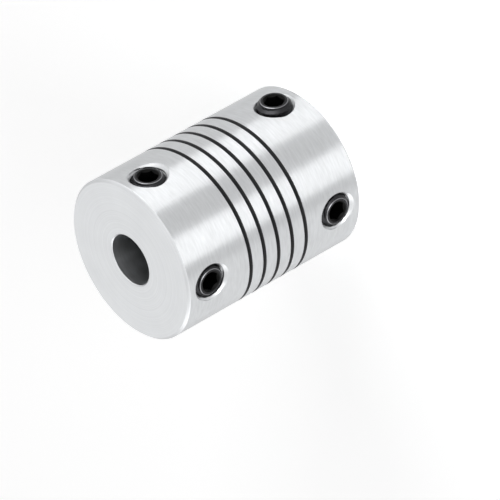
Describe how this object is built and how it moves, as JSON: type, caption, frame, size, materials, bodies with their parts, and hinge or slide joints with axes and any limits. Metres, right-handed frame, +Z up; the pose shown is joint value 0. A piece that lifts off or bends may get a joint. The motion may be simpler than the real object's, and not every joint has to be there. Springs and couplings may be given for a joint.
{
  "type": "helical beam shaft coupling",
  "caption": "One-piece flexible shaft coupling: a turned aluminium sleeve with a helical slot between two hubs, each with set screws at right angles.",
  "frame": {"origin": "centre of the lower end face, on the bore's axis", "axes": "+Z up along the bore; +X along the set screws called a, -Y along those called b"},
  "size_m": [0.0196, 0.019, 0.025],
  "materials": {
    "turned_aluminium": "bright turned, fine marks round the axis",
    "black_oxide_steel": "black oxide, satin"
  },
  "bodies": {
    "coupling": {"coupling_body": "turned_aluminium"},
    "upper_set_screw_a": {"upper_screw_a": "black_oxide_steel"},
    "upper_set_screw_b": {"upper_screw_b": "black_oxide_steel"},
    "lower_set_screw_a": {"lower_screw_a": "black_oxide_steel"},
    "lower_set_screw_b": {"lower_screw_b": "black_oxide_steel"}
  },
  "joints": [
    {"name": "upper_a_travel", "type": "slide", "parent": "coupling", "child": "upper_set_screw_a", "axis": [1, 0, 0], "range_m": [-0.00235, 0.00275]},
    {"name": "upper_b_travel", "type": "slide", "parent": "coupling", "child": "upper_set_screw_b", "axis": [0, -1, 0], "range_m": [-0.0023, 0.0028]},
    {"name": "lower_a_travel", "type": "slide", "parent": "coupling", "child": "lower_set_screw_a", "axis": [1, 0, 0], "range_m": [-0.0031, 0.002]},
    {"name": "lower_b_travel", "type": "slide", "parent": "coupling", "child": "lower_set_screw_b", "axis": [0, -1, 0], "range_m": [-0.00245, 0.00265]}
  ]
}
